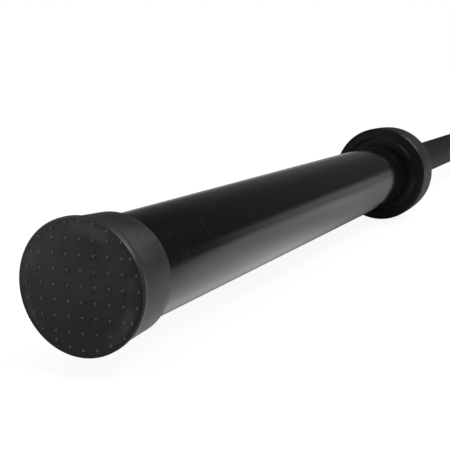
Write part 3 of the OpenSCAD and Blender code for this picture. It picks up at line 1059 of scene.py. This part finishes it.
# %% [markdown]
# ### Knurling
# Rolled knurling is two sets of helical grooves that cross, which leaves small diamond pyramids.
# On the unrolled band that is a checkerboard: every other grid point is a tip, the points between
# are where valleys cross. Geometry Nodes make a grid, lift every other point and wrap it round the
# bar. The short diagonals of the cells then are the valley lines.

# %% Tree of the knurling
WELD = 0.001 * MM


def knurl_tree():
    tree, use = new_group("knurl", {
        "Length": "NodeSocketFloat", "Middle": "NodeSocketFloat", "Cells along": "NodeSocketInt",
        "Cells round": "NodeSocketInt", "Tip radius": "NodeSocketFloat",
        "Valley radius": "NodeSocketFloat", "Run out": "NodeSocketInt", "Finish": "NodeSocketMaterial",
    })
    grid = tree.node("GeometryNodeMeshGrid", None, {
        "Size X": use["Length"], "Size Y": 2 * math.pi,
        "Vertices X": use["Cells along"] + 1, "Vertices Y": use["Cells round"] + 1,
    })
    along, angle = tree.split(tree.node("GeometryNodeInputPosition"))[:2]
    row = ((along / use["Length"] + 0.5) * use["Cells along"]).apply("ROUND")
    column = ((angle / (2 * math.pi) + 0.5) * use["Cells round"]).apply("ROUND")
    parity = (row + column).apply("MODULO", 2)
    to_edge = row.apply("MINIMUM", use["Cells along"] - row)
    height = (to_edge / use["Run out"]).apply("MINIMUM", 1) * (1 - parity)
    radius = use["Valley radius"] + (use["Tip radius"] - use["Valley radius"]) * height
    wrapped = tree.node("ShaderNodeCombineXYZ", None, {
        0: along + use["Middle"], 1: radius * angle.apply("SINE"), 2: radius * angle.apply("COSINE"),
    })
    band = tree.node("GeometryNodeSetPosition", None, {"Geometry": grid, "Position": wrapped})
    closed = tree.node("GeometryNodeMergeByDistance", None, {"Geometry": band, "Distance": WELD})
    settings = {"quad_method": "SHORTEST_DIAGONAL"}
    cells = tree.node("GeometryNodeTriangulate", settings, {"Mesh": closed})
    crisp = tree.node("GeometryNodeSetShadeSmooth", None, {"Geometry": cells, "Shade Smooth": False})
    real = tree.node("GeometryNodeRealizeInstances", None, {"Geometry": crisp})
    painted = tree.node("GeometryNodeSetMaterial", None, {"Geometry": real, "Material": use["Finish"]})
    tree.node("NodeGroupOutput", None, {"Geometry": painted}, None)
    return tree


knurl = knurl_tree()
print("knurling:", len(knurl.tree.nodes), "nodes")

# %% [markdown]
# The five bands differ only in where they start and end, so the one tree makes them all, and they
# are joined into one piece that rides on the shaft. Each band has a whole number of diamonds, and
# the tips run out over a few cells at its ends, as the rolls leave them.

# %% Knurled bands
KNURL_STARTS = 50
DIAMOND_LENGTH = 3.05 * MM
TIP_R = grip_r + 0.06 * MM
VALLEY_R = band_r + 0.01 * MM
RUN_OUT = 3

bands = [
    (-knurl_end_x, -mark_to), (-mark_from, -KNURL_START), (-CENTRE_KNURL / 2, CENTRE_KNURL / 2),
    (KNURL_START, mark_from), (mark_to, knurl_end_x),
]
vertices, faces = [], []
for start, end in bands:
    rolled = grow(knurl, "knurl_band", {
        "Length": end - start - EASE, "Middle": (start + end) / 2,
        "Cells along": 2 * round((end - start) / DIAMOND_LENGTH), "Cells round": 2 * KNURL_STARTS,
        "Tip radius": TIP_R, "Valley radius": VALLEY_R, "Run out": RUN_OUT,
        "Finish": shaft_black.material,
    })
    base = len(vertices)
    vertices += [v.co.copy() for v in rolled.vertices]
    faces += [[base + i for i in polygon.vertices] for polygon in rolled.polygons]
    bpy.data.meshes.remove(rolled)
knurl_mesh = bpy.data.meshes.new("knurling")
knurl_mesh.from_pydata(vertices, [], faces)
knurl_mesh.materials.append(shaft_black.material)
knurling = add_object("knurling", knurl_mesh)
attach(knurling, "shaft")
print("knurling:", len(faces), "triangles on", len(bands), "bands")

# %% [markdown]
# ## Finishes on the construction's own pieces
# The pieces inside have the right shape already, so they stay and only get their finish. The table
# goes by the piece's name without its side.

# %% Finishes by piece
FINISH_OF = {
    "dust_seal": seal_rubber, "inner_thrust_washer": bearing_steel, "inner_bushing": bronze,
    "inner_bearing_shell": bearing_steel, "inner_bearing_cage": cage_steel,
    "inner_needles": bearing_steel, "spacer_tube": plain_steel,
    "outer_bearing_shell": bearing_steel, "outer_bearing_cage": cage_steel,
    "outer_needles": bearing_steel, "outer_bushing": bronze,
    "outer_thrust_washer": bearing_steel, "shaft_snap_ring": spring_steel,
    "end_cover": plain_steel, "cover_snap_ring": spring_steel,
    "sleeve_tube": gloss_black, "collar": satin_black, "rubber_end_cap": cap_rubber,
    "shaft": shaft_black,
}
for name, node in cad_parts.items():
    piece_name = name.removesuffix("_left").removesuffix("_right")
    node.data.materials.clear()
    node.data.materials.append(FINISH_OF[piece_name].material)
print("finishes on", len(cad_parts), "construction pieces")

# %% [markdown]
# ## Settings
# Standard view, so that colours come out as written.

# %% Settings
bpy.context.scene.view_settings.view_transform = "Standard"
